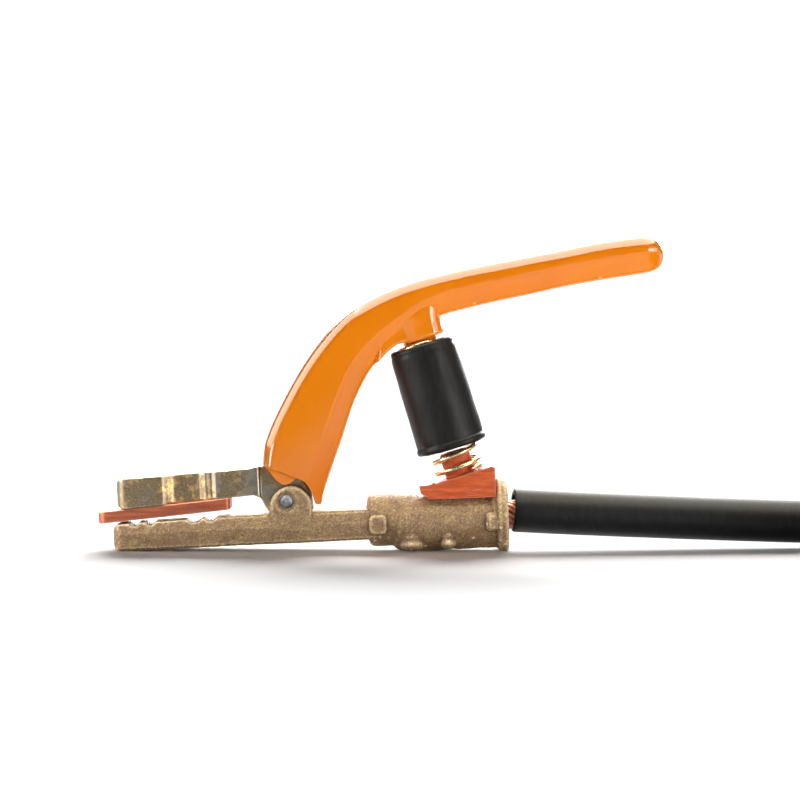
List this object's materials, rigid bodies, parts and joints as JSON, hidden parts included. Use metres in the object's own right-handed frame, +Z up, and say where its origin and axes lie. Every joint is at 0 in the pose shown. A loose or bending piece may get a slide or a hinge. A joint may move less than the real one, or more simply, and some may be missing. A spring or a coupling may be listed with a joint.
{
  "type": "electrode holder",
  "caption": "Clamp-type welding electrode holder: sprung lever over a cast lower jaw, copper contact plate, and a cable folded into a hank with a plug.",
  "frame": {"origin": "on the surface that the holder rests on, under the middle of the holder's own box, without its cable", "axes": "+X from the jaws towards the cable, +Z up, +Y to the far side of the side view that has the jaws on the left"},
  "size_m": [0.6566, 0.1365, 0.129],
  "materials": {
    "cast_brass": "sand cast, tumbled, dull",
    "bright_steel": "machined",
    "jaw_steel": "stamped steel with a mottled yellow zinc passivation",
    "contact_copper": "rolled copper, oxidised",
    "orange_plastic": "glossy moulding",
    "spring_zinc": "yellow zinc plate",
    "sleeve_rubber": "smooth black rubber",
    "red_fibre": "sawn fibre board with fine scratches",
    "strand_copper": "bare strands",
    "cable_rubber": "smooth black rubber with fine scuffs",
    "tie_webbing": "woven hook-and-loop strap",
    "boot_rubber": "ribbed black rubber",
    "turned_brass": "turned brass"
  },
  "bodies": {
    "holder_body": {"jaw_body": "cast_brass", "pivot_pin": "bright_steel", "spring": "spring_zinc", "spring_seat": "red_fibre", "cable_clamp_screw_front": "bright_steel", "cable_clamp_screw_rear": "bright_steel", "cable_ferrule": "strand_copper", "cable_conductor": "strand_copper", "cable_lead": "cable_rubber", "cable_hank": "cable_rubber", "cable_tail": "cable_rubber", "hank_tie_far_left": "tie_webbing", "hank_tie_far_right": "tie_webbing", "hank_tie_near_left": "tie_webbing", "hank_tie_near_right": "tie_webbing", "plug_boot": "boot_rubber", "plug_pin": "turned_brass", "plug_conductor": "strand_copper", "plug_clamp_screw_front": "bright_steel", "plug_clamp_screw_rear": "bright_steel"},
    "lever": {"upper_jaw": "jaw_steel", "contact_plate": "contact_copper", "contact_rivet_front": "contact_copper", "contact_rivet_rear": "contact_copper", "lever_handle": "orange_plastic", "spring_sleeve": "sleeve_rubber"}
  },
  "joints": [
    {"name": "lever_pivot", "type": "hinge", "parent": "holder_body", "child": "lever", "pos_m": [-0.0379, 0, 0.02086], "axis": [0, 1, 0], "range_deg": [0, 6.5], "stiffness_Nm_per_rad": 56, "springref_deg": -8.02, "deforming": ["spring"]}
  ]
}
